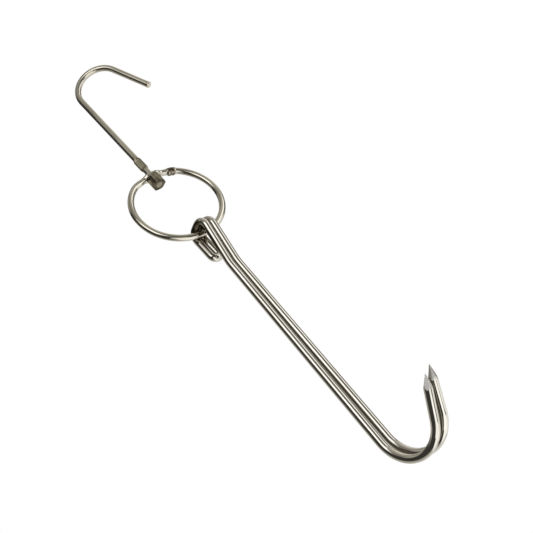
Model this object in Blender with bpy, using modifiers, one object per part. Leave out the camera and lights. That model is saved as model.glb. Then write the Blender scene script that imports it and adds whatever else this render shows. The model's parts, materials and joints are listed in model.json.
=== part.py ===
"""Swivelling twin-prong meat hook in stainless wire, hanging from its rail hook.

Frame: metres, +Z up, origin on the inside of the top hook's crown, where the rail
bears. The top hook opens towards +X. The chain of pieces hangs straight down.
"""
import math

import bmesh
import bpy
from mathutils import Matrix, Vector

# Overall sizes
TOP_REACH = 0.095                       # outside of the crown to the middle of the ring's wire
RING_DIAMETER = 0.055                   # between wire middles
HOOK_REACH = 0.185                      # middle of the ring's wire to the outside of the lower bend

# Wires
TOP_WIRE = 0.0040
RING_WIRE = 0.0040
HOOK_WIRE = 0.0048

# Top hook
TOP_BEND_RADIUS = 0.0153                # at the wire's middle
TOP_BEND_TURN = math.radians(161)
TOP_LEG = 0.0300                        # straight end after the bend
TOP_END_CHAMFER = 0.0004
STOP_SPREAD = 0.0011                    # pinched stop over the wire, wider than the ring's hole
STOP_SQUEEZE = 0.75                     # stop's thickness as a share of the wire
STOP_LENGTH = 0.0090
AXIAL_PLAY = 0.0056                     # free travel of the shank through the ring

# Swivel
SWIVEL_CLEARANCE = 0.0003               # each side of the shank in the ring's hole
FACE_GAP = 0.0003                       # between faces that bear on each other
NUT_WALL = 0.00225                      # from the wire to a flat
NUT_HEIGHT = 0.0066
NUT_CHAMFER = 0.0008
NUT_CHAMFER_SLOPE = math.radians(32)
NUT_TURN = math.radians(24)
SEAT_MARGIN = 0.0005                    # flat seat under the ring, round the nut's corners

# Ring
RING_TURN = math.radians(24.7)          # swivel angle at rest
LAND_WALL = 0.0013                      # metal left beside the hole
LAND_HALF_ANGLE = math.radians(6)
LAND_RUN_OUT = math.radians(9)
FLAT_THICKNESS = 0.0028                 # the ring is hammered flat around the hole,
FLAT_SINK = 0.0010                      # which lowers it inside the ring's circle
SINK_RUN_OUT = math.radians(18)
FLAT_HALF_ANGLE = math.radians(15)
FLAT_RUN_OUT = math.radians(8)
WELD_ANGLE = math.radians(28)           # from the hole to the ring's closing weld
WELD_BULGE = 0.0005                     # height of the weld over the wire
WELD_LENGTH = 0.0062
WELD_SINK = 0.0004                      # the bead's middle inside the ring's circle

# Double hook
HOOK_YAW = math.radians(17.3)           # angle between the eye and the ring at rest
HOOK_LEAN = math.radians(3.7)           # the shanks lean back so that the bend hangs under the eye
PAIR_GAP = 0.0010                       # between the two shanks at the neck
SHANK_SPREAD = 0.0021                   # and how far they run apart by the bend
LOOP_GAP = 0.0006                       # between the two wires over the ring
EYE_SEAT_GAP = 0.0005                   # eye's inside over the ring's wire
EYE_BEND_PLAY = 0.0008                  # eye's bend radius over a tight fit
TAIL_PLAY = 0.00175                     # tail's distance behind a tight fit
EYE_FRONT_PLAY = 0.0049                 # where the shanks' line meets the crown's level
NECK_DROP = 0.0272                      # ring's wire to where the shanks turn straight
NECK_SETBACK = 0.0012                   # shanks in front of the ring's middle there
NECK_RADIUS = 0.025
TAIL_DROP = 0.0154                      # ring's wire to the end of the hairpin's fold
FOLD_ROUNDING = 0.98                    # fold's bend radius as a share of half the pair
PRONG_RADIUS = 0.0208                   # lower bend at the wire's middle
PRONG_TURN = math.radians(141.3)
PRONG_LEG = 0.0240                      # straight end after the bend, point included
SECOND_RADIUS_GAIN = 0.0009             # the second prong is bent a little wider,
SECOND_TURN_GAIN = math.radians(4)      # a little further
SECOND_RAISE = 0.0003                   # and a little higher
POINT_LENGTH = 0.0084                   # ground point
POINT_TURN = math.radians(24)            # ground faces about the wire
GRIND_STOCK = 0.0002                    # wire past the point, ground away

# Facets
WIRE_BEVEL_RESOLUTION = 4
BEND_STEP = math.radians(10)
STOP_STEPS = 20
RING_STEPS = 120
RING_SIDES = 16
BEAD_SIDES = 20
BEAD_STEPS = 12
HOLE_SIDES = 24
SEAT_SIDES = 32
TURNED_SIDES = 48
SHARP_ANGLE = math.radians(40)
CHAMFERED_ANGLE = math.radians(60)
CUTTER_MARGIN = 0.002
WELDED_VERTS = 0.0000001
MERGED_VERTS = 0.00001

# Levels and the swivel's axis
SHANK_X = -TOP_BEND_RADIUS
RING_TOP = TOP_WIRE - TOP_REACH
RING_MIDDLE = RING_TOP - RING_DIAMETER / 2
RING_BOTTOM = RING_TOP - RING_DIAMETER
LAND_MIDDLE = RING_TOP - FLAT_SINK
LAND_TOP = LAND_MIDDLE + FLAT_THICKNESS / 2
LAND_UNDERSIDE = LAND_MIDDLE - FLAT_THICKNESS / 2
NUT_TOP = LAND_UNDERSIDE - FACE_GAP
NUT_BOTTOM = NUT_TOP - NUT_HEIGHT
STOP_BOTTOM = LAND_TOP + AXIAL_PLAY
BORE = TOP_WIRE + 2 * SWIVEL_CLEARANCE
LAND_WIDTH = BORE + 2 * LAND_WALL
STOP_WIDTH = TOP_WIRE + STOP_SPREAD
STOP_THICKNESS = TOP_WIRE * STOP_SQUEEZE
NUT_ACROSS_FLATS = TOP_WIRE + 2 * NUT_WALL
NUT_CORNERS = NUT_ACROSS_FLATS / math.cos(math.pi / 6)
SEAT_DIAMETER = NUT_CORNERS + 2 * SEAT_MARGIN


def clear_scene():
    for item in list(bpy.data.objects):
        bpy.data.objects.remove(item, do_unlink=True)


def new_collection(name):
    collection = bpy.data.collections.new(name)
    bpy.context.scene.collection.children.link(collection)
    return collection


def steel(name, colour, roughness):
    material = bpy.data.materials.new(name)
    material.use_nodes = True
    shader = material.node_tree.nodes["Principled BSDF"]
    shader.inputs["Base Color"].default_value = (*colour, 1.0)
    shader.inputs["Metallic"].default_value = 1.0
    shader.inputs["Roughness"].default_value = roughness
    return material


def mesh_object(name, mesh, collection, material=None):
    item = bpy.data.objects.new(name, mesh)
    collection.objects.link(item)
    if material:
        mesh.materials.clear()
        mesh.materials.append(material)
    return item


def from_bmesh(name, work, collection, material=None):
    mesh = bpy.data.meshes.new(name)
    work.to_mesh(mesh)
    work.free()
    return mesh_object(name, mesh, collection, material)


def smooth(item):
    item.data.shade_smooth()
    item.data.set_sharp_from_angle(angle=SHARP_ANGLE)


def blend(value, edge, run):
    """1 inside edge, 0 beyond edge + run, and a smooth step between."""
    share = min(max((edge + run - value) / run, 0.0), 1.0)
    return share * share * (3 - 2 * share)


def rounded_route(corners, radii):
    """Points along straight runs joined by arcs, one radius for each inner corner."""
    points = [corners[0]]
    for before, corner, after, radius in zip(corners, corners[1:], corners[2:], radii):
        incoming = (corner - before).normalized()
        outgoing = (after - corner).normalized()
        turn = incoming.angle(outgoing)
        tangent = radius * math.tan(turn / 2)
        start = corner - incoming * tangent
        inward = (outgoing - incoming * incoming.dot(outgoing)).normalized()
        centre = start + inward * radius
        steps = max(2, math.ceil(turn / BEND_STEP))
        for step in range(steps + 1):
            angle = turn * step / steps
            points.append(centre - inward * radius * math.cos(angle) + incoming * radius * math.sin(angle))
    points.append(corners[-1])
    return points


def wire_mesh(name, points, diameter):
    """Round wire along the points, as one closed mesh in the points' own space."""
    curve = bpy.data.curves.new(name + "_route", "CURVE")
    curve.dimensions = "3D"
    curve.bevel_depth = diameter / 2
    curve.bevel_resolution = WIRE_BEVEL_RESOLUTION
    curve.use_fill_caps = True
    spline = curve.splines.new("POLY")
    spline.points.add(len(points) - 1)
    for target, point in zip(spline.points, points):
        target.co = (*point, 1.0)
    route = bpy.data.objects.new(name + "_route", curve)
    bpy.context.scene.collection.objects.link(route)
    bpy.context.view_layer.update()
    evaluated = route.evaluated_get(bpy.context.evaluated_depsgraph_get())
    mesh = bpy.data.meshes.new_from_object(evaluated)
    mesh.name = name
    bpy.data.objects.remove(route, do_unlink=True)
    work = bmesh.new()
    work.from_mesh(mesh)
    bmesh.ops.remove_doubles(work, verts=work.verts, dist=WELDED_VERTS)
    bmesh.ops.recalc_face_normals(work, faces=work.faces)
    work.to_mesh(mesh)
    work.free()
    return mesh


def cut(target, cutter, operation="DIFFERENCE"):
    modifier = target.modifiers.new(cutter.name, "BOOLEAN")
    modifier.operation = operation
    modifier.object = cutter
    modifier.solver = "EXACT"


def as_cutter(item):
    item.hide_render = True
    item.display_type = "WIRE"
    return item


def stacked(start, end, count):
    """Evenly spaced points from start to end, both included."""
    return [start.lerp(end, step / count) for step in range(count + 1)]


def top_hook(parts, material):
    shank_end = Vector((SHANK_X, 0, NUT_BOTTOM))
    shank_top = Vector((SHANK_X, 0, TOP_WIRE / 2 - TOP_BEND_RADIUS))
    stop_from = Vector((SHANK_X, 0, STOP_BOTTOM - STOP_WIDTH / 2))
    stop_to = Vector((SHANK_X, 0, STOP_BOTTOM + STOP_LENGTH + STOP_WIDTH / 2))
    points = [shank_end] + stacked(stop_from, stop_to, STOP_STEPS)
    steps = math.ceil(TOP_BEND_TURN / BEND_STEP)
    for step in range(steps + 1):
        angle = TOP_BEND_TURN * step / steps
        across = TOP_BEND_RADIUS * (1 - math.cos(angle))
        points.append(shank_top + Vector((across, 0, TOP_BEND_RADIUS * math.sin(angle))))
    heading = Vector((math.sin(TOP_BEND_TURN), 0, math.cos(TOP_BEND_TURN)))
    points.append(points[-1] + heading * TOP_LEG)
    mesh = wire_mesh("top_hook", points, TOP_WIRE)
    stop_middle = STOP_BOTTOM + STOP_LENGTH / 2
    for vertex in mesh.vertices:
        away = abs(vertex.co.z - stop_middle)
        if vertex.co.x > SHANK_X + TOP_WIRE or away > STOP_LENGTH:
            continue
        pinch = blend(away, STOP_LENGTH / 2 - TOP_WIRE / 4, TOP_WIRE / 2)
        vertex.co.x = SHANK_X + (vertex.co.x - SHANK_X) * (1 + pinch * (STOP_WIDTH / TOP_WIRE - 1))
        vertex.co.y *= 1 + pinch * (STOP_THICKNESS / TOP_WIRE - 1)
    item = mesh_object("top_hook", mesh, parts, material)
    chamfer = item.modifiers.new("end_chamfer", "BEVEL")
    chamfer.width = TOP_END_CHAMFER
    chamfer.segments = 1
    chamfer.limit_method = "ANGLE"
    chamfer.angle_limit = CHAMFERED_ANGLE
    smooth(item)
    return item


def swivel_nut(parts, cutters, material):
    """Hexagon nut under the ring's land, with both faces' corners turned off."""
    corner_radius = NUT_CORNERS / 2
    place = Matrix.Translation((SHANK_X, 0, (NUT_TOP + NUT_BOTTOM) / 2))
    turned = place @ Matrix.Rotation(NUT_TURN, 4, "Z")
    work = bmesh.new()
    bmesh.ops.create_cone(work, cap_ends=True, segments=6, radius1=corner_radius,
                          radius2=corner_radius, depth=NUT_HEIGHT, matrix=turned)
    nut = from_bmesh("swivel_nut", work, parts, material)
    face_radius = corner_radius - NUT_CHAMFER / 2
    edge_radius = corner_radius + NUT_CHAMFER / 4
    fall = (edge_radius - face_radius) * math.tan(NUT_CHAMFER_SLOPE)
    profile = bmesh.new()
    half = NUT_HEIGHT / 2
    outline = [(0, half), (face_radius, half), (edge_radius, half - fall),
               (edge_radius, fall - half), (face_radius, -half), (0, -half)]
    corners = [profile.verts.new((x, 0, z)) for x, z in outline]
    for first, second in zip(corners, corners[1:]):
        profile.edges.new((first, second))
    turned_blank = as_cutter(from_bmesh("nut_turning", profile, cutters))
    turned_blank.matrix_world = place
    screw = turned_blank.modifiers.new("turning", "SCREW")
    screw.steps = TURNED_SIDES
    screw.render_steps = TURNED_SIDES
    screw.use_merge_vertices = True
    screw.merge_threshold = MERGED_VERTS
    screw.use_normal_calculate = True
    bore = bmesh.new()
    bore_radius = TOP_WIRE / 2 + FACE_GAP
    bmesh.ops.create_cone(bore, cap_ends=True, segments=HOLE_SIDES, radius1=bore_radius,
                          radius2=bore_radius, depth=NUT_HEIGHT + CUTTER_MARGIN, matrix=place)
    nut_bore = as_cutter(from_bmesh("nut_bore", bore, cutters))
    cut(nut, turned_blank, "INTERSECT")
    cut(nut, nut_bore)
    smooth(nut)
    return nut


def ring(parts, cutters, material, hub):
    """Round wire ring, hammered flat and pierced where the shank passes, and butt welded."""
    bpy.ops.mesh.primitive_torus_add(major_segments=RING_STEPS, minor_segments=RING_SIDES,
                                     major_radius=RING_DIAMETER / 2, minor_radius=RING_WIRE / 2)
    torus = bpy.context.object
    mesh = torus.data
    for collection in list(torus.users_collection):
        collection.objects.unlink(torus)
    parts.objects.link(torus)
    torus.name = "ring"
    mesh.transform(Matrix.Rotation(math.pi / 2, 4, "X"))
    mesh.materials.clear()
    mesh.materials.append(material)
    for vertex in mesh.vertices:
        from_top = abs(math.atan2(vertex.co.x, vertex.co.z))
        flat = blend(from_top, FLAT_HALF_ANGLE, FLAT_RUN_OUT)
        wide = blend(from_top, LAND_HALF_ANGLE, LAND_RUN_OUT)
        sunk = FLAT_SINK * blend(from_top, FLAT_HALF_ANGLE, SINK_RUN_OUT)
        radius = math.hypot(vertex.co.x, vertex.co.z)
        depth = radius - RING_DIAMETER / 2
        squeezed = depth * (1 + flat * (FLAT_THICKNESS / RING_WIRE - 1)) - sunk
        grow = (RING_DIAMETER / 2 + squeezed) / radius
        vertex.co.x *= grow
        vertex.co.z *= grow
        vertex.co.y *= 1 + wide * (LAND_WIDTH / RING_WIRE - 1)
    torus.parent = hub
    torus.location = (0, 0, RING_MIDDLE - hub.location.z)
    bead = bmesh.new()
    bmesh.ops.create_uvsphere(bead, u_segments=BEAD_SIDES, v_segments=BEAD_STEPS, radius=1.0)
    bead_place = (Matrix.Rotation(WELD_ANGLE, 4, "Y")
                  @ Matrix.Translation((0, 0, RING_DIAMETER / 2 - WELD_SINK))
                  @ Matrix.Diagonal((WELD_LENGTH / 2, RING_WIRE / 2 + WELD_BULGE,
                                     RING_WIRE / 2 + WELD_BULGE, 1)))
    bead.transform(bead_place)
    weld = as_cutter(from_bmesh("weld_bead", bead, cutters))
    weld.parent = torus
    hole = bmesh.new()
    bmesh.ops.create_cone(hole, cap_ends=True, segments=HOLE_SIDES, radius1=BORE / 2,
                          radius2=BORE / 2, depth=LAND_WIDTH + CUTTER_MARGIN)
    drill = as_cutter(from_bmesh("ring_hole", hole, cutters))
    drill.parent = torus
    drill.location = (0, 0, RING_DIAMETER / 2 - FLAT_SINK)
    seat_depth = RING_WIRE
    seat_top = RING_DIAMETER / 2 - FLAT_SINK - FLAT_THICKNESS / 2
    seat = bmesh.new()
    bmesh.ops.create_cone(seat, cap_ends=True, segments=SEAT_SIDES, radius1=SEAT_DIAMETER / 2,
                          radius2=SEAT_DIAMETER / 2, depth=seat_depth)
    spot_face = as_cutter(from_bmesh("nut_seat", seat, cutters))
    spot_face.parent = torus
    spot_face.location = (0, 0, seat_top - seat_depth / 2)
    cut(torus, weld, "UNION")
    cut(torus, drill)
    cut(torus, spot_face)
    smooth(torus)
    return torus


def half_route(side, radius, turn, raised):
    """One wire of the pair, from the hairpin's fold over the ring to the point.

    x runs across the pair, y from the shanks' front to the tail at the back.
    """
    half_pair = (HOOK_WIRE + PAIR_GAP) / 2
    half_loops = (HOOK_WIRE + LOOP_GAP) / 2
    contact = (RING_WIRE + HOOK_WIRE) / 2
    eye_radius = contact + EYE_BEND_PLAY
    crown = contact + EYE_SEAT_GAP
    back = contact + TAIL_PLAY
    front = contact + EYE_FRONT_PLAY
    down = Vector((0, math.sin(HOOK_LEAN), -math.cos(HOOK_LEAN)))
    fold = Vector((side * half_pair, back, -TAIL_DROP + HOOK_WIRE / 2))
    over_back = Vector((side * half_loops, back, crown))
    over_front = Vector((side * half_loops, -front, crown))
    shank_top = Vector((side * half_pair, -NECK_SETBACK, -NECK_DROP))
    bend_middle = -HOOK_REACH + HOOK_WIRE / 2 + raised + radius
    bend_start = bend_middle + radius * math.sin(HOOK_LEAN)
    run = (shank_top.z - bend_start) / math.cos(HOOK_LEAN)
    tangent = radius * math.tan(turn / 2)
    apart = Vector((side * SHANK_SPREAD / 2, 0, 0))
    bend = shank_top + down * (run + tangent) + apart
    towards = HOOK_LEAN - turn
    away = Vector((0, math.sin(towards), -math.cos(towards)))
    tip = bend - apart + away * (tangent + PRONG_LEG)
    heading = (tip - bend).normalized()
    stock_end = tip + heading * GRIND_STOCK
    corners = [fold, over_back, over_front, shank_top, bend, stock_end]
    radii = [eye_radius, eye_radius, NECK_RADIUS, radius]
    return corners, radii, tip, heading


def double_hook(parts, cutters, material, pivot):
    """One wire folded in a hairpin, hung over the ring by the fold and bent to two prongs."""
    first, radii_first, tip_first, heading_first = half_route(-1, PRONG_RADIUS, PRONG_TURN, 0.0)
    second, radii_second, tip_second, heading_second = half_route(
        1, PRONG_RADIUS + SECOND_RADIUS_GAIN, PRONG_TURN + SECOND_TURN_GAIN, SECOND_RAISE)
    half_pair = (HOOK_WIRE + PAIR_GAP) / 2
    drop = Vector((0, 0, -half_pair))
    fold_radius = half_pair * FOLD_ROUNDING
    corners = first[:0:-1] + [first[0] + drop, second[0] + drop] + second[1:]
    radii = radii_first[::-1] + [fold_radius, fold_radius] + radii_second
    mesh = wire_mesh("double_hook", rounded_route(corners, radii), HOOK_WIRE)
    hook = mesh_object("double_hook", mesh, parts, material)
    hook.parent = pivot
    hook.rotation_euler = (0, 0, HOOK_YAW)
    tilt = math.atan((HOOK_WIRE / 2) / POINT_LENGTH)
    block_length = 3 * POINT_LENGTH
    for name, tip, heading in (("first", tip_first, heading_first),
                               ("second", tip_second, heading_second)):
        other = heading.cross(Vector((1, 0, 0))).normalized()
        frame = Matrix((other.cross(heading), other, heading)).transposed().to_4x4()
        frame = Matrix.Translation(tip) @ frame
        for number in range(4):
            block = bmesh.new()
            bmesh.ops.create_cube(block, size=1.0)
            block.transform(Matrix.Diagonal((half_pair, 2 * half_pair, block_length, 1)))
            block.transform(Matrix.Translation((half_pair / 2, 0, 0)))
            block.transform(Matrix.Rotation(-tilt, 4, "Y"))
            block.transform(Matrix.Rotation(POINT_TURN + math.pi / 2 * number, 4, "Z"))
            block.transform(frame)
            grinder = as_cutter(from_bmesh("grind_%s_%d" % (name, number), block, cutters))
            grinder.parent = hook
            cut(hook, grinder)
    smooth(hook)
    return hook


def empty(name, collection, location, turn=0.0, parent=None):
    item = bpy.data.objects.new(name, None)
    item.empty_display_size = 0.01
    collection.objects.link(item)
    item.location = location
    item.rotation_euler = (0, 0, turn)
    item.parent = parent
    return item


def main():
    clear_scene()
    parts = new_collection("meat_hook")
    cutters = new_collection("cutters")
    bright = steel("bright_stainless", (0.72, 0.70, 0.64), 0.18)
    satin = steel("satin_stainless", (0.62, 0.60, 0.53), 0.28)
    dark = steel("dark_stainless", (0.30, 0.28, 0.23), 0.40)
    swivel = empty("swivel_axis", parts, (SHANK_X, 0, RING_TOP), RING_TURN)
    pivot = empty("eye_axis", parts, (0, 0, RING_BOTTOM - RING_TOP), 0.0, swivel)
    top_hook(parts, satin)
    swivel_nut(parts, cutters, dark)
    ring(parts, cutters, satin, swivel)
    double_hook(parts, cutters, bright, pivot)


main()
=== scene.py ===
"""Looks of the swivelling twin-prong meat hook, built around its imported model."""
import json
import math

import bmesh
import bpy
import numpy as np
from mathutils import Matrix, Vector, noise


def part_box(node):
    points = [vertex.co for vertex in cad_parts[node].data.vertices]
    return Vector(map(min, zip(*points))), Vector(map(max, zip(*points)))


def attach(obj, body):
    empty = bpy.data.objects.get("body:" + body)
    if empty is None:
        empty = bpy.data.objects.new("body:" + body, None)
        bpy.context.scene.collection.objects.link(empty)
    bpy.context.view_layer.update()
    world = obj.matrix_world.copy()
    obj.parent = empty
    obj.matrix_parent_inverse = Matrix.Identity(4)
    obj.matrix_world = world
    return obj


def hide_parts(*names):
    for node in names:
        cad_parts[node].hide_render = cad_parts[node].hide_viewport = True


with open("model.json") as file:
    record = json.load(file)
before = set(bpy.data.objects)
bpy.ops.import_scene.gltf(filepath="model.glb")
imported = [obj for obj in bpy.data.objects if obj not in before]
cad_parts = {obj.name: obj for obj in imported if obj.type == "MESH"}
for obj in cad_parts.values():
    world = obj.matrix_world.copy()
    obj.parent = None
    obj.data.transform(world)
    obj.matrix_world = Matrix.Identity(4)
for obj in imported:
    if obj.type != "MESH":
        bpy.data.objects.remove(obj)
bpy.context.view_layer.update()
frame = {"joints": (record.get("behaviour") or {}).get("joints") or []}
JOINTS = {joint["name"]: joint for joint in frame["joints"]}

# Levels and axes, from the frame
SWIVEL = Vector(JOINTS["ring_swivel"]["pos_m"])
EYE = Vector(JOINTS["hook_swing"]["pos_m"])
SWING_AXIS = Vector(JOINTS["hook_swing"]["axis"])
RING_TURN = math.atan2(SWING_AXIS.y, SWING_AXIS.x)
RING_RADIUS = (SWIVEL.z - EYE.z) / 2
RING_MIDDLE = (SWIVEL.z + EYE.z) / 2
SHANK_X = SWIVEL.x
CROWN_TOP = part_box("top_hook")[1].z
NUT_LOW, NUT_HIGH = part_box("swivel_nut")
HOOK_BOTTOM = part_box("double_hook")[0].z

# Wires
TOP_WIRE = 0.0040
RING_WIRE = 0.0040
HOOK_WIRE = 0.0048

# Top hook
TOP_BEND_RADIUS = -SHANK_X
TOP_BEND_TURN = math.radians(161)
TOP_LEG = 0.0300
TOP_END_CHAMFER = 0.0004
STOP_WIDTH = 0.0051
STOP_THICKNESS = 0.0030
STOP_LENGTH = 0.0090
STOP_SQUARENESS = 1.6
AXIAL_PLAY = 0.0056

# Swivel
SWIVEL_CLEARANCE = 0.0003
NUT_ACROSS_FLATS = 0.0085
NUT_CHAMFER = 0.0008
NUT_CHAMFER_SLOPE = math.tan(math.radians(32))
NUT_EDGE = 0.0002
NUT_TURN = math.radians(24)
RIVET_SPREAD = 0.00022
RIVET_LENGTH = 0.0012

# Ring
LAND_WALL = 0.0013
LAND_HALF_ANGLE = math.radians(6)
LAND_RUN_OUT = math.radians(9)
FLAT_THICKNESS = 0.0028
FLAT_SQUARENESS = 1.5
FLAT_SINK = 0.0010
SINK_RUN_OUT = math.radians(18)
FLAT_HALF_ANGLE = math.radians(15)
FLAT_RUN_OUT = math.radians(8)
WELD_ANGLE = math.radians(28)
WELD_BULGE = 0.0005
WELD_LENGTH = 0.0062
WELD_SINK = 0.0004
SEAT_MARGIN = 0.0005

# Weld, with lengths as shares of WELD_LENGTH and noise scales per metre
BEAD_CORE = 0.28
BEAD_RUN_OUT = 0.24
BEAD_WANDER = 0.25
BEAD_SINK_SHARE = 0.8
LUMP_SCALE, LUMP_SHARE = 900, 0.5
FINE_LUMP_SCALE, FINE_LUMP_SHARE = 2300, 0.25
LUMP_SWELL = 1.3
BURN_REACH = 0.30
BURN_LEVEL = 1.25
BURN_SCALE, BURN_SHARE = 1100, 1.5

# Double hook
HOOK_YAW = math.radians(17.3)
HOOK_LEAN = math.radians(3.7)
PAIR_GAP = 0.0010
SHANK_SPREAD = 0.0021
LOOP_GAP = 0.0006
EYE_SEAT_GAP = 0.0005
EYE_BEND_PLAY = 0.0008
TAIL_PLAY = 0.00175
EYE_FRONT_PLAY = 0.0049
NECK_DROP = 0.0272
NECK_SETBACK = 0.0012
NECK_RADIUS = 0.025
TAIL_DROP = 0.0154
PRONG_RADIUS = 0.0208
PRONG_TURN = math.radians(141.3)
PRONG_LEG = 0.0240
SECOND_RADIUS_GAIN = 0.0009
SECOND_TURN_GAIN = math.radians(4)
SECOND_RAISE = 0.0003
POINT_LENGTH = 0.0084
POINT_TURN = math.radians(24)
FOLD_ROUNDING = 0.98

# Ground points: reaches are in point lengths, depths in metres
FINE_REACH = 1.15
GRIND_REACH = 1.3
LAST_STEP_SHARE = 0.9
BLUNT_DEPTH = 0.00002
CUT_TOLERANCE = 1e-7

# Painted shade inside the eye where it hangs on the ring, and on the sides where the two wires face each
# other
PAINTED_SHADE_COLOUR = (0.16, 0.14, 0.10)
EYE_SHADE_REACH = 0.0052
EYE_SHADE_RUN_OUT = 0.0012
EYE_SHADE_FALL = 0.30
FACING_CORE = 0.06
FACING_RUN_OUT = 0.15
FACING_SHADE = 0.68

# Mesh fineness
SIDES = 64
TURN_STEP = math.radians(2)
RUN_STEP = 0.0015
POINT_STEP = 0.00015
RING_STEPS = 256
RING_SIDES = 48
CUTTER_SIDES = 96
NUT_COLUMNS = 180
NUT_LEVELS = [0, 0.35, 0.6, 0.75, 0.84, 0.9, 0.94, 0.97, 0.985]
SHARP_ANGLE = math.radians(30)
NUT_SHARP_ANGLE = math.radians(28)
RING_SHARP_ANGLE = math.radians(35)
POINT_SHARP_ANGLE = math.radians(22)

# Wire steel's noises, each (scale, detail, squash along the wire), and what they do
FINE_LINES = (5200, 2, 0.012)
BROAD_LINES = (1500, 2, 0.02)
CLOUDS = (160, 4, 0.35)
PITS = (2600, 3, 0.2)
NOISE_ROUGHNESS = 0.6
DARK_CLOUD, LIGHT_CLOUD = 0.30, 0.62
STREAKS = ((0.32, 0.72), (0.58, 1.0))
STREAK_SHARE = 0.55
ROUGHNESS_SWING = 0.9
ROUGHNESS_LEAST = 0.55
FINE_LINE_HEIGHT = 0.5
BROAD_LINE_HEIGHT = 0.8
PIT_HEIGHT = 0.15

# Nut steel
NUT_TINTS = ((0.32, (0.17, 0.145, 0.105)), (0.66, (0.44, 0.40, 0.31)))
NUT_FACE_TINT = (0.36, 0.34, 0.30)
NUT_ROUGHNESS_SWING = 0.30
NUT_ROUGHNESS_LEAST = 0.17
NUT_GRAIN_DEPTH = 0.00002
NUT_GRAIN_STRENGTH = 0.7

# Camera and floor
CAMERA_PLACE = Vector((-0.066876, -0.468258, -0.406866))
CAMERA_AIM = Vector((-0.002550, 0.0, -0.189074))
CAMERA_ROLL = math.radians(43.801)
CAMERA_LENS = 61.453
SENSOR_WIDTH = 36
CAMERA_NEAR, CAMERA_FAR = 0.01, 50
FLOOR_DROP = 0.60
FLOOR_HALF = 12
FLOOR_COLOUR = (0.86, 0.86, 0.85)


# ---------------------------------------------------------------- camera, floor, light

def make_camera():
    data = bpy.data.cameras.new("camera")
    data.lens = CAMERA_LENS
    data.sensor_width = SENSOR_WIDTH
    data.clip_start = CAMERA_NEAR
    data.clip_end = CAMERA_FAR
    camera = bpy.data.objects.new("camera", data)
    bpy.context.scene.collection.objects.link(camera)
    look = (CAMERA_AIM - CAMERA_PLACE).to_track_quat("-Z", "Y").to_matrix()
    roll = Matrix.Rotation(-CAMERA_ROLL, 3, "Z")
    camera.matrix_world = Matrix.Translation(CAMERA_PLACE) @ (look @ roll).to_4x4()
    bpy.context.scene.camera = camera


def make_floor():
    """Pale floor, which the metal doesn't mirror: its mirror rays see the studio instead."""
    mesh = bpy.data.meshes.new("floor")
    work = bmesh.new()
    bmesh.ops.create_grid(work, x_segments=1, y_segments=1, size=FLOOR_HALF)
    work.to_mesh(mesh)
    work.free()
    floor = bpy.data.objects.new("floor", mesh)
    bpy.context.scene.collection.objects.link(floor)
    floor.location = (0, 0, HOOK_BOTTOM - FLOOR_DROP)
    pale = bpy.data.materials.new("pale_floor")
    pale.use_nodes = True
    shader = pale.node_tree.nodes["Principled BSDF"]
    shader.inputs["Base Color"].default_value = (*FLOOR_COLOUR, 1)
    shader.inputs["Roughness"].default_value = 0.8
    shader.inputs["Specular IOR Level"].default_value = 0.1
    mesh.materials.append(pale)
    floor.visible_glossy = False


def node(tree, kind, **inputs):
    """A new node, with constants on the sockets named."""
    made = tree.nodes.new(kind)
    for name, value in inputs.items():
        made.inputs[name].default_value = value
    return made


def put(tree, socket, value):
    """Links a node's output to the socket, or sets a constant number or colour on it."""
    if isinstance(value, bpy.types.NodeSocket):
        tree.links.new(value, socket)
    elif isinstance(value, tuple):
        socket.default_value = (*value, 1)
    else:
        socket.default_value = value


def math_node(tree, operation, *values):
    made = tree.nodes.new("ShaderNodeMath")
    made.operation = operation
    for socket, value in zip(made.inputs, values):
        put(tree, socket, value)
    return made.outputs[0]


def mixed(tree, share, first, second, kind="MIX"):
    """Colour from the first value to the second, as share goes from 0 to 1."""
    made = tree.nodes.new("ShaderNodeMixRGB")
    made.blend_type = kind
    for socket, value in zip(made.inputs, (share, first, second)):
        put(tree, socket, value)
    return made.outputs[0]


def attribute(tree, name, output="Fac"):
    made = tree.nodes.new("ShaderNodeAttribute")
    made.attribute_name = name
    return made.outputs[output]


def ramp(tree, value, low, high):
    """Eased ramp on a 0 to 1 value. low and high are (place, grey or colour)."""
    made = tree.nodes.new("ShaderNodeValToRGB")
    tree.links.new(value, made.inputs[0])
    made.color_ramp.interpolation = "EASE"
    for element, (place, colour) in zip(made.color_ramp.elements, (low, high)):
        shade = colour if isinstance(colour, tuple) else (colour,) * 3
        element.position = place
        element.color = (*shade, 1)
    return made.outputs[0]


def within(tree, distance, half, softness):
    """1 where the distance is under half, falling to 0 over softness beyond it."""
    edge = tree.nodes.new("ShaderNodeMapRange")
    edge.interpolation_type = "SMOOTHSTEP"
    tree.links.new(distance, edge.inputs["Value"])
    edge.inputs["From Min"].default_value = half + softness
    edge.inputs["From Max"].default_value = half
    return edge.outputs[0]


def warm(level):
    """Grey of this level, a little towards beige."""
    return (level, level * 0.955, level * 0.85)


def white(level):
    return (level, level * 0.985, level * 0.955)


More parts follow.
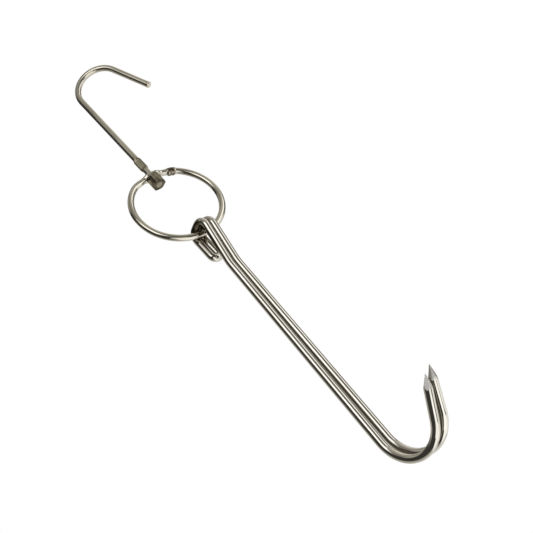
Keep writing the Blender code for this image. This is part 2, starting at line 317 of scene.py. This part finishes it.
# The studio as the metal sees it. Headings run from 0 at the front (-Y) to 90 at +X, and
# every panel is (heading, half width, lowest, highest, colour, softness), in degrees.
# Later panels stand in front of earlier ones.
ROOM = warm(0.045)
PANELS = [
    (0, 180, 62, 100, warm(0.38), 14),       # ceiling
    (40, 26, -12, 30, warm(0.17), 8),        # dim gap between the boxes
    (68, 62, 29, 75, warm(0.44), 8),         # screen on the right
    (150, 34, -100, 80, warm(0.34), 12),     # screens behind
    (124, 28, 32, 54, warm(0.75), 10),
    (-143, 38, -100, 31, warm(0.45), 7),
    (-4, 24, 36, 100, warm(0.24), 12),       # ceiling's front edge
    (-8, 50, -68, -48, white(1.15), 8),      # pale floor
    (0, 180, -100, -64, white(1.25), 10),
    (-168, 26, -62, -16, white(0.82), 10),
    (122, 32, -60, -14, white(0.95), 8),
    (-12, 17, 16, 32, white(0.80), 6),       # key box, with its dimmer head and its foot
    (-6, 15, -6, 24, white(1.55), 7),
    (4, 14, -62, -34, white(1.35), 8),
    (76, 12, -8, 23, white(1.30), 5),        # edge box, brighter low down
    (72, 11, -46, 0, white(1.45), 6),
]


def make_surroundings():
    """Even white for the camera and the floor and, for the metal's mirror rays, the studio."""
    world = bpy.data.worlds.new("studio")
    bpy.context.scene.world = world
    world.use_nodes = True
    tree = world.node_tree
    tree.nodes.clear()
    direction = tree.nodes.new("ShaderNodeTexCoord").outputs["Generated"]
    split = tree.nodes.new("ShaderNodeSeparateXYZ")
    tree.links.new(direction, split.inputs[0])
    backwards = math_node(tree, "MULTIPLY", split.outputs["Y"], -1.0)
    heading = math_node(tree, "ARCTAN2", split.outputs["X"], backwards)
    height = math_node(tree, "ARCSINE", split.outputs["Z"])
    seen = ROOM
    for turn, half_width, low, high, colour, softness in PANELS:
        turned = math_node(tree, "SUBTRACT", heading, math.radians(turn))
        aside = math_node(tree, "ABSOLUTE", math_node(tree, "WRAP", turned, math.pi, -math.pi))
        raised = math_node(tree, "SUBTRACT", height, math.radians((low + high) / 2))
        above = math_node(tree, "ABSOLUTE", raised)
        edge = math.radians(softness)
        inside = math_node(
            tree, "MULTIPLY",
            within(tree, aside, math.radians(half_width), edge),
            within(tree, above, math.radians((high - low) / 2), edge))
        seen = mixed(tree, inside, seen, colour)
    studio = node(tree, "ShaderNodeBackground", Strength=1.0)
    tree.links.new(seen, studio.inputs["Color"])
    sweep = node(tree, "ShaderNodeBackground", Color=(1, 1, 1, 1), Strength=1.0)
    path = tree.nodes.new("ShaderNodeLightPath").outputs
    unmirrored = math_node(tree, "ADD", path["Is Camera Ray"], path["Is Diffuse Ray"])
    mix = tree.nodes.new("ShaderNodeMixShader")
    tree.links.new(unmirrored, mix.inputs[0])
    tree.links.new(studio.outputs[0], mix.inputs[1])
    tree.links.new(sweep.outputs[0], mix.inputs[2])
    output = tree.nodes.new("ShaderNodeOutputWorld")
    tree.links.new(mix.outputs[0], output.inputs["Surface"])


# ---------------------------------------------------------------- wire geometry

def blend(value, edge, run):
    """1 inside edge, 0 beyond edge + run, and a smooth step between."""
    share = min(max((edge + run - value) / run, 0.0), 1.0)
    return share * share * (3 - 2 * share)


def stretch(points, end, step):
    """Adds evenly spaced points up to end."""
    start = points[-1]
    count = max(1, round((end - start).length / step))
    points.extend(start.lerp(end, number / count) for number in range(1, count + 1))


def rounded_route(corners, radii):
    """Points along straight runs joined by arcs, one radius for each inner corner."""
    points = [corners[0]]
    for before, corner, after, radius in zip(corners, corners[1:], corners[2:], radii):
        incoming = (corner - before).normalized()
        outgoing = (after - corner).normalized()
        turn = incoming.angle(outgoing)
        start = corner - incoming * radius * math.tan(turn / 2)
        inward = (outgoing - incoming * incoming.dot(outgoing)).normalized()
        centre = start + inward * radius
        if (start - points[-1]).dot(incoming) > RUN_STEP / 4:
            stretch(points, start, RUN_STEP)
        steps = max(2, math.ceil(turn / TURN_STEP))
        for step in range(1, steps + 1):
            angle = turn * step / steps
            points.append(centre - inward * radius * math.cos(angle) + incoming * radius * math.sin(angle))
    stretch(points, corners[-1], RUN_STEP)
    return points


def carried_frames(points, first, last):
    """Tangent, across direction and length so far at each point.

    The across direction is turned evenly along the wire, to go from first to last.
    """
    ahead = [(b - a).normalized() for a, b in zip(points, points[1:])]
    tangents = [ahead[0]] + [(a + b).normalized() for a, b in zip(ahead, ahead[1:])] + [ahead[-1]]
    across = [(first - tangents[0] * first.dot(tangents[0])).normalized()]
    for before, after in zip(tangents, tangents[1:]):
        carried = before.rotation_difference(after) @ across[-1]
        across.append((carried - after * carried.dot(after)).normalized())
    wanted = (last - tangents[-1] * last.dot(tangents[-1])).normalized()
    miss = math.atan2(across[-1].cross(wanted).dot(tangents[-1]), across[-1].dot(wanted))
    lengths = np.concatenate([[0.0], np.cumsum([(b - a).length for a, b in zip(points, points[1:])])])
    turned = []
    for direction, tangent, length in zip(across, tangents, lengths):
        twist = Matrix.Rotation(miss * length / lengths[-1], 3, tangent)
        turned.append(twist @ direction)
    return tangents, turned, lengths


def tube(name, points, radii, first, last):
    """Round wire with closed ends along the points, with the straightened wire's space kept in "unbent"."""
    tangents, across, lengths = carried_frames(points, first, last)
    work = bmesh.new()
    layer = work.verts.layers.float_vector.new("unbent")
    rows = []
    for point, tangent, side, length, radius in zip(points, tangents, across, lengths, radii):
        other = tangent.cross(side)
        row = []
        for number in range(SIDES):
            angle = 2 * math.pi * number / SIDES
            a, b = radius * math.cos(angle), radius * math.sin(angle)
            vertex = work.verts.new(point + side * a + other * b)
            vertex[layer] = (a, b, length)
            row.append(vertex)
        rows.append(row)
    for low, high in zip(rows, rows[1:]):
        for number in range(SIDES):
            following = (number + 1) % SIDES
            work.faces.new((low[number], low[following], high[following], high[number]))
    for row, point, length in ((rows[0], points[0], 0.0), (rows[-1], points[-1], lengths[-1])):
        middle = work.verts.new(point)
        middle[layer] = (0, 0, length)
        for number in range(SIDES):
            work.faces.new((row[number], row[(number + 1) % SIDES], middle))
    bmesh.ops.recalc_face_normals(work, faces=work.faces)
    mesh = bpy.data.meshes.new(name)
    work.to_mesh(mesh)
    work.free()
    return mesh


def show(name, mesh, material, sharp_angle=SHARP_ANGLE):
    item = bpy.data.objects.new(name, mesh)
    bpy.context.scene.collection.objects.link(item)
    mesh.materials.clear()
    mesh.materials.append(material)
    mesh.shade_smooth()
    mesh.set_sharp_from_angle(angle=sharp_angle)
    return item


def mark(mesh, name, rule):
    """Float attribute on the mesh's points, from each point's place."""
    values = mesh.attributes.new(name, "FLOAT", "POINT")
    for vertex, value in zip(mesh.vertices, values.data):
        value.value = rule(vertex.co)


# ---------------------------------------------------------------- top hook

def pinch_stop(mesh, stop_middle):
    """Presses the shank to the stop: wider across, thinner and squarer front to back."""
    radius = TOP_WIRE / 2
    for vertex in mesh.vertices:
        away = abs(vertex.co.z - stop_middle)
        if vertex.co.x > SHANK_X + TOP_WIRE or away > STOP_LENGTH:
            continue
        pinch = blend(away, STOP_LENGTH / 2 - TOP_WIRE / 4, TOP_WIRE / 2)
        vertex.co.x = SHANK_X + (vertex.co.x - SHANK_X) * (1 + pinch * (STOP_WIDTH / TOP_WIRE - 1))
        limit = radius - pinch * (radius - STOP_THICKNESS / 2)
        pressed = math.tanh(STOP_SQUARENESS * vertex.co.y / limit)
        rounded = limit * pressed / math.tanh(STOP_SQUARENESS * radius / limit)
        vertex.co.y += pinch * (rounded - vertex.co.y)


def top_hook(material):
    """Shank with its pinched stop and riveted end, rail bend and chamfered leg."""
    radius = TOP_WIRE / 2
    land_top = SWIVEL.z - FLAT_SINK + FLAT_THICKNESS / 2
    stop_low = land_top + AXIAL_PLAY
    stop_middle = stop_low + STOP_LENGTH / 2
    shank_end = Vector((SHANK_X, 0, NUT_LOW.z))
    shank_top = Vector((SHANK_X, 0, CROWN_TOP - radius - TOP_BEND_RADIUS))
    points = [shank_end]
    stretch(points, Vector((SHANK_X, 0, stop_low + STOP_LENGTH + radius)), RUN_STEP / 6)
    stretch(points, shank_top, RUN_STEP)
    steps = math.ceil(TOP_BEND_TURN / TURN_STEP)
    for step in range(1, steps + 1):
        angle = TOP_BEND_TURN * step / steps
        across = TOP_BEND_RADIUS * (1 - math.cos(angle))
        points.append(shank_top + Vector((across, 0, TOP_BEND_RADIUS * math.sin(angle))))
    heading = Vector((math.sin(TOP_BEND_TURN), 0, math.cos(TOP_BEND_TURN)))
    tip = points[-1] + heading * TOP_LEG
    stretch(points, tip - heading * TOP_END_CHAMFER, RUN_STEP)
    points.append(tip)
    radii = [radius] * len(points)
    radii[-1] = radius - TOP_END_CHAMFER
    for number, point in enumerate(points):
        above_end = point.z - shank_end.z
        if point.x == SHANK_X and above_end < RIVET_LENGTH:
            radii[number] = radius + RIVET_SPREAD * blend(above_end, RIVET_LENGTH / 2, RIVET_LENGTH / 2)
    mesh = tube("top_hook_wire", points, radii, Vector((1, 0, 0)), Vector((1, 0, 0)))
    pinch_stop(mesh, stop_middle)

    def worked(place):
        if place.x >= SHANK_X + TOP_WIRE:
            return 0.0
        pinched = blend(abs(place.z - stop_middle), STOP_LENGTH / 2, TOP_WIRE / 2)
        riveted = blend(place.z - shank_end.z, RIVET_LENGTH, RIVET_LENGTH)
        return max(pinched, riveted)

    mark(mesh, "worked", worked)
    hook = show("top_hook_wire", mesh, material)
    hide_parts("top_hook")
    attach(hook, "top_hook")


# ---------------------------------------------------------------- nut

def soft_least(first, second, softness):
    """Lesser of the two, with the corner between them rounded."""
    gap = max(softness - abs(first - second), 0.0) / softness
    return min(first, second) - gap * gap * softness / 4


def swivel_nut(material):
    """Hexagon with corners turned off both faces, soft edges and a bore."""
    middle = Vector((SHANK_X, 0, (NUT_LOW.z + NUT_HIGH.z) / 2))
    half = (NUT_HIGH.z - NUT_LOW.z) / 2
    flat = NUT_ACROSS_FLATS / 2
    corner = flat / math.cos(math.pi / 6)
    bore = TOP_WIRE / 2 + SWIVEL_CLEARANCE
    face = corner - NUT_CHAMFER / 2
    below = [-half * level for level in NUT_LEVELS[:0:-1]]
    above = [half * level for level in NUT_LEVELS]
    heights = [-half, *below, *above, half]
    work = bmesh.new()
    rows = []

    def ring_of(height, radius_at):
        row = []
        for column in range(NUT_COLUMNS):
            angle = 2 * math.pi * column / NUT_COLUMNS
            radius = radius_at(angle)
            row.append(work.verts.new(middle + Vector((
                radius * math.cos(angle + NUT_TURN), radius * math.sin(angle + NUT_TURN), height))))
        rows.append(row)

    def side_radius(height):
        room = (half - abs(height)) / NUT_CHAMFER_SLOPE
        return lambda angle: soft_least(
            flat / math.cos((angle % (math.pi / 3)) - math.pi / 6), face + room, NUT_EDGE)

    ring_of(-half, lambda angle: bore)
    ring_of(-half, lambda angle: (bore + face) / 2)
    end_radius = side_radius(half)
    ring_of(-half, lambda angle: end_radius(angle) - NUT_EDGE)
    for height in heights:
        ring_of(height, side_radius(height))
    ring_of(half, lambda angle: end_radius(angle) - NUT_EDGE)
    ring_of(half, lambda angle: (bore + face) / 2)
    ring_of(half, lambda angle: bore)
    for low, high in zip(rows, rows[1:] + rows[:1]):
        for column in range(NUT_COLUMNS):
            following = (column + 1) % NUT_COLUMNS
            work.faces.new((low[column], low[following], high[following], high[column]))
    bmesh.ops.recalc_face_normals(work, faces=work.faces)
    mesh = bpy.data.meshes.new("swivel_nut_body")
    work.to_mesh(mesh)
    work.free()
    mark(mesh, "worked", lambda place: blend(place.z - NUT_LOW.z, NUT_EDGE / 4, NUT_EDGE / 2))
    nut = show("swivel_nut_body", mesh, material, NUT_SHARP_ANGLE)
    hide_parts("swivel_nut")
    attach(nut, "top_hook")


# ---------------------------------------------------------------- ring

def cylinder_cutter(name, radius, depth, place):
    work = bmesh.new()
    bmesh.ops.create_cone(work, cap_ends=True, segments=CUTTER_SIDES,
                          radius1=radius, radius2=radius, depth=depth)
    mesh = bpy.data.meshes.new(name)
    work.to_mesh(mesh)
    work.free()
    cutter = bpy.data.objects.new(name, mesh)
    bpy.context.scene.collection.objects.link(cutter)
    cutter.location = place
    return cutter


def applied(item):
    """The object's mesh with its modifiers applied, in its own space."""
    bpy.context.view_layer.update()
    evaluated = item.evaluated_get(bpy.context.evaluated_depsgraph_get())
    return bpy.data.meshes.new_from_object(evaluated)


def press_ring(mesh, land_width):
    """Hammers the wire flat and wide at the ring's top, and swells it to the weld's lump."""
    limit = FLAT_THICKNESS / 2
    full = math.tanh(FLAT_SQUARENESS * RING_WIRE / 2 / limit)
    for vertex in mesh.vertices:
        place = vertex.co
        angle = math.atan2(place.x, place.z)
        from_top = abs(angle)
        flat = blend(from_top, FLAT_HALF_ANGLE, FLAT_RUN_OUT)
        wide = blend(from_top, LAND_HALF_ANGLE, LAND_RUN_OUT)
        sunk = FLAT_SINK * blend(from_top, FLAT_HALF_ANGLE, SINK_RUN_OUT)
        radius = math.hypot(place.x, place.z)
        depth = radius - RING_RADIUS
        pressed = limit * math.tanh(FLAT_SQUARENESS * depth / limit) / full
        squeezed = depth + flat * (pressed - depth) - sunk
        side = place.y * (1 + wide * (land_width / RING_WIRE - 1))
        from_weld = abs(angle - WELD_ANGLE) * RING_RADIUS
        lumps = (noise.noise(place * LUMP_SCALE) * LUMP_SHARE
                 + noise.noise(place * FINE_LUMP_SCALE) * FINE_LUMP_SHARE)
        bead = blend(from_weld * (1 + BEAD_WANDER * lumps),
                     WELD_LENGTH * BEAD_CORE, WELD_LENGTH * BEAD_RUN_OUT)
        swell = 1 + bead * (WELD_BULGE * (1 + LUMP_SWELL * lumps) / (RING_WIRE / 2))
        squeezed = squeezed * swell - bead * WELD_SINK * BEAD_SINK_SHARE
        grow = (RING_RADIUS + squeezed) / radius
        vertex.co = (place.x * grow, side * swell, place.z * grow)


def mark_ring(mesh, back):
    """The straightened wire's space and the burnt weld. back leads to the ring's own space."""
    mesh.attributes.new("unbent", "FLOAT_VECTOR", "POINT")
    mesh.attributes.new("worked", "FLOAT", "POINT")
    unbent = mesh.attributes["unbent"].data
    worked = mesh.attributes["worked"].data
    for number, vertex in enumerate(mesh.vertices):
        local = back @ vertex.co
        angle = math.atan2(local.x, local.z)
        unbent[number].vector = (
            math.hypot(local.x, local.z) - RING_RADIUS, local.y, angle * RING_RADIUS)
        from_weld = abs(angle - WELD_ANGLE) * RING_RADIUS
        burnt = BURN_LEVEL + BURN_SHARE * noise.noise(local * BURN_SCALE)
        worked[number].value = min(max(burnt, 0.0), 1.0) * blend(
            from_weld, WELD_LENGTH * BURN_REACH, WELD_LENGTH * BURN_REACH)


def ring(material):
    """Ring wire hammered flat and pierced for the shank, with the lump of its closing weld."""
    bpy.ops.mesh.primitive_torus_add(major_segments=RING_STEPS, minor_segments=RING_SIDES,
                                     major_radius=RING_RADIUS, minor_radius=RING_WIRE / 2)
    torus = bpy.context.object
    mesh = torus.data
    mesh.transform(Matrix.Rotation(math.pi / 2, 4, "X"))
    bore = TOP_WIRE + 2 * SWIVEL_CLEARANCE
    land_width = bore + 2 * LAND_WALL
    press_ring(mesh, land_width)
    place = Matrix.Translation((SHANK_X, 0, RING_MIDDLE)) @ Matrix.Rotation(RING_TURN, 4, "Z")
    mesh.transform(place)
    land = SWIVEL.z - FLAT_SINK
    nut_corners = NUT_ACROSS_FLATS / math.cos(math.pi / 6)
    drill = cylinder_cutter("drill", bore / 2, 3 * land_width, (SHANK_X, 0, land))
    seat = cylinder_cutter("seat", nut_corners / 2 + SEAT_MARGIN, RING_WIRE,
                           (SHANK_X, 0, land - FLAT_THICKNESS / 2 - RING_WIRE / 2))
    for cutter in (drill, seat):
        cut = torus.modifiers.new(cutter.name, "BOOLEAN")
        cut.operation = "DIFFERENCE"
        cut.object = cutter
        cut.solver = "EXACT"
    finished = applied(torus)
    for item in (torus, drill, seat):
        bpy.data.objects.remove(item, do_unlink=True)
    mark_ring(finished, place.inverted())
    item = show("ring_wire", finished, material, RING_SHARP_ANGLE)
    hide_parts("ring")
    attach(item, "ring")


# ---------------------------------------------------------------- double hook

def half_route(side, radius, turn, raised):
    """Corners of one wire of the pair, from the hairpin's fold over the ring to the point.

    x runs across the pair, y from the shanks' front to the tail at the back.
    """
    half_pair = (HOOK_WIRE + PAIR_GAP) / 2
    half_loops = (HOOK_WIRE + LOOP_GAP) / 2
    contact = (RING_WIRE + HOOK_WIRE) / 2
    eye_radius = contact + EYE_BEND_PLAY
    crown = contact + EYE_SEAT_GAP
    back = contact + TAIL_PLAY
    front = contact + EYE_FRONT_PLAY
    down = Vector((0, math.sin(HOOK_LEAN), -math.cos(HOOK_LEAN)))
    fold = Vector((side * half_pair, back, -TAIL_DROP + HOOK_WIRE / 2))
    over_back = Vector((side * half_loops, back, crown))
    over_front = Vector((side * half_loops, -front, crown))
    shank_top = Vector((side * half_pair, -NECK_SETBACK, -NECK_DROP))
    bend_middle = HOOK_BOTTOM - EYE.z + HOOK_WIRE / 2 + raised + radius
    bend_start = bend_middle + radius * math.sin(HOOK_LEAN)
    run = (shank_top.z - bend_start) / math.cos(HOOK_LEAN)
    tangent = radius * math.tan(turn / 2)
    apart = Vector((side * SHANK_SPREAD / 2, 0, 0))
    bend = shank_top + down * (run + tangent) + apart
    towards = HOOK_LEAN - turn
    away = Vector((0, math.sin(towards), -math.cos(towards)))
    tip = bend - apart + away * (tangent + PRONG_LEG)
    heading = (tip - bend).normalized()
    corners = [fold, over_back, over_front, shank_top, bend, tip]
    radii = [eye_radius, eye_radius, NECK_RADIUS, radius]
    return corners, radii, heading


def fine_end(points):
    """The route with close steps over the ground point, up to just short of the tip."""
    tip = points[-1]
    body = list(points)
    while (body[-1] - tip).length < POINT_LENGTH * FINE_REACH:
        body.pop()
    stretch(body, tip, POINT_STEP)
    body[-1] = body[-2].lerp(tip, LAST_STEP_SHARE)
    return body


def mark_painted_shade(mesh):
    """Painted shade inside the eye, and on the sides that the two wires turn to each other."""
    loop_middle = (TAIL_PLAY - EYE_FRONT_PLAY) / 2
    for vertex, value in zip(mesh.vertices, mesh.attributes["painted_shade"].data):
        from_ring = math.hypot(vertex.co.y - loop_middle, min(vertex.co.z, 0.0) * EYE_SHADE_FALL)
        # Painted shade inside the eye, around the ring and fading out below it
        eye_shade = blend(max(from_ring, vertex.co.z), EYE_SHADE_REACH, EYE_SHADE_RUN_OUT)
        # Painted shade on the sides that face the other wire
        turned_away = 1 + vertex.normal.x * math.copysign(1, vertex.co.x)
        facing = blend(turned_away, FACING_CORE, FACING_RUN_OUT)
        value.value = max(eye_shade, FACING_SHADE * facing)


def grind(mesh, tip, heading):
    """Cuts one end of the wire to four flat facets that meet at the tip."""
    worked = mesh.attributes["worked"].data
    unbent = mesh.attributes["unbent"].data
    half_pair = (HOOK_WIRE + PAIR_GAP) / 2
    steepness = (HOOK_WIRE / 2) / POINT_LENGTH
    square = heading.cross(Vector((1, 0, 0))).normalized()
    turned = Matrix.Rotation(POINT_TURN, 3, heading)
    across = turned @ square.cross(heading)
    other = turned @ square
    for number, vertex in enumerate(mesh.vertices):
        offset = vertex.co - tip
        if offset.length > POINT_LENGTH * GRIND_REACH or abs(offset.x) > half_pair:
            continue
        depth = -offset.dot(heading)
        limit = max(depth, BLUNT_DEPTH) * steepness
        a, b = offset.dot(across), offset.dot(other)
        cut_a, cut_b = min(max(a, -limit), limit), min(max(b, -limit), limit)
        if abs(cut_a - a) + abs(cut_b - b) > CUT_TOLERANCE:
            worked[number].value = 1.0
        vertex.co = tip - heading * depth + across * cut_a + other * cut_b
        unbent[number].vector = (cut_a, cut_b, unbent[number].vector.z)


def double_hook(material):
    """One wire folded in a hairpin, hung over the ring and bent to two ground points."""
    first, radii_first, heading_first = half_route(-1, PRONG_RADIUS, PRONG_TURN, 0.0)
    second, radii_second, heading_second = half_route(
        1, PRONG_RADIUS + SECOND_RADIUS_GAIN, PRONG_TURN + SECOND_TURN_GAIN, SECOND_RAISE)
    half_pair = (HOOK_WIRE + PAIR_GAP) / 2
    drop = Vector((0, 0, -half_pair))
    corners = first[:0:-1] + [first[0] + drop, second[0] + drop] + second[1:]
    radii = radii_first[::-1] + [half_pair * FOLD_ROUNDING] * 2 + radii_second
    points = rounded_route(corners, radii)
    points = fine_end(points)
    points = fine_end(points[::-1])[::-1]
    sideways = Vector((1, 0, 0))
    mesh = tube("double_hook_wire", points, [HOOK_WIRE / 2] * len(points), sideways, sideways)
    mesh.attributes.new("worked", "FLOAT", "POINT")
    # Mask of painted shade: the eye's inside and the wires' facing sides are darkened
    mesh.attributes.new("painted_shade", "FLOAT", "POINT")
    mark_painted_shade(mesh)
    grind(mesh, first[-1], heading_first)
    grind(mesh, second[-1], heading_second)
    mesh.transform(Matrix.Translation(EYE) @ Matrix.Rotation(RING_TURN + HOOK_YAW, 4, "Z"))
    hook = show("double_hook_wire", mesh, material, POINT_SHARP_ANGLE)
    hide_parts("double_hook")
    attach(hook, "double_hook")


# ---------------------------------------------------------------- steel

def metal(name):
    """A new metal material, with its node tree and its shader."""
    material = bpy.data.materials.new(name)
    material.use_nodes = True
    shader = material.node_tree.nodes["Principled BSDF"]
    shader.inputs["Metallic"].default_value = 1.0
    return material, material.node_tree, shader


def bumped(tree, shader, height, distance, strength):
    bump = node(tree, "ShaderNodeBump", Strength=strength, Distance=distance)
    tree.links.new(height, bump.inputs["Height"])
    tree.links.new(bump.outputs[0], shader.inputs["Normal"])


def steel(name, light, dark, worked_tint, roughness, worked_roughness, line_depth):
    """Drawn stainless: drawing lines along the wire, a cloudy tint, fine pits and painted shade."""
    material, tree, shader = metal(name)
    unbent = attribute(tree, "unbent", "Vector")
    worked = attribute(tree, "worked")

    def drawn_noise(scale, detail, squash):
        mapping = node(tree, "ShaderNodeMapping", Scale=(1, 1, squash))
        tree.links.new(unbent, mapping.inputs["Vector"])
        grain = node(tree, "ShaderNodeTexNoise", Scale=scale, Detail=detail, Roughness=NOISE_ROUGHNESS)
        tree.links.new(mapping.outputs[0], grain.inputs["Vector"])
        return grain.outputs[0]

    lines = drawn_noise(*FINE_LINES)
    broad_lines = drawn_noise(*BROAD_LINES)
    clouds = drawn_noise(*CLOUDS)
    pits = drawn_noise(*PITS)

    tint = ramp(tree, clouds, (DARK_CLOUD, dark), (LIGHT_CLOUD, light))
    streaked = mixed(tree, STREAK_SHARE, tint, ramp(tree, broad_lines, *STREAKS), "MULTIPLY")
    patched = mixed(tree, worked, streaked, worked_tint)
    # Painted shade: darkens the eye's inside and the sides where the two wires face each other
    shaded_colour = mixed(tree, attribute(tree, "painted_shade"), patched, PAINTED_SHADE_COLOUR)
    tree.links.new(shaded_colour, shader.inputs["Base Color"])

    varied = math_node(
        tree, "MULTIPLY_ADD", clouds, roughness * ROUGHNESS_SWING, roughness * ROUGHNESS_LEAST)
    extra = math_node(tree, "MULTIPLY", worked, worked_roughness - roughness)
    tree.links.new(math_node(tree, "ADD", varied, extra), shader.inputs["Roughness"])

    height = math_node(tree, "MULTIPLY", lines, FINE_LINE_HEIGHT)
    height = math_node(tree, "ADD", height, math_node(tree, "MULTIPLY", broad_lines, BROAD_LINE_HEIGHT))
    height = math_node(tree, "ADD", height, math_node(tree, "MULTIPLY", pits, PIT_HEIGHT))
    bumped(tree, shader, height, line_depth, 1.0)
    return material


def nut_steel():
    """Dark tumbled stainless with a cloudy tint, darker on its end face."""
    material, tree, shader = metal("tumbled_nut")
    place = tree.nodes.new("ShaderNodeTexCoord").outputs["Object"]
    clouds = node(tree, "ShaderNodeTexNoise", Scale=420.0, Detail=5.0, Roughness=0.65)
    grain = node(tree, "ShaderNodeTexNoise", Scale=3200.0, Detail=3.0, Roughness=0.6)
    for texture in (clouds, grain):
        tree.links.new(place, texture.inputs["Vector"])
    tint = ramp(tree, clouds.outputs[0], *NUT_TINTS)
    faced = mixed(tree, attribute(tree, "worked"), tint, NUT_FACE_TINT, "MULTIPLY")
    tree.links.new(faced, shader.inputs["Base Color"])
    varied = math_node(
        tree, "MULTIPLY_ADD", clouds.outputs[0], NUT_ROUGHNESS_SWING, NUT_ROUGHNESS_LEAST)
    tree.links.new(varied, shader.inputs["Roughness"])
    bumped(tree, shader, grain.outputs[0], NUT_GRAIN_DEPTH, NUT_GRAIN_STRENGTH)
    return material


def main():
    bpy.context.scene.view_settings.view_transform = "Standard"
    make_camera()
    make_floor()
    make_surroundings()
    top_hook(steel(
        "satin_wire", light=(0.74, 0.71, 0.62), dark=(0.60, 0.565, 0.47),
        worked_tint=(0.36, 0.33, 0.25), roughness=0.20, worked_roughness=0.34,
        line_depth=0.0000022))
    swivel_nut(nut_steel())
    ring(steel(
        "ring_steel", light=(0.78, 0.755, 0.67), dark=(0.66, 0.63, 0.54),
        worked_tint=(0.16, 0.13, 0.09), roughness=0.11, worked_roughness=0.26,
        line_depth=0.0000012))
    double_hook(steel(
        "bright_wire", light=(0.84, 0.82, 0.76), dark=(0.72, 0.70, 0.63),
        worked_tint=(0.86, 0.86, 0.84), roughness=0.075, worked_roughness=0.30,
        line_depth=0.0000008))


main()
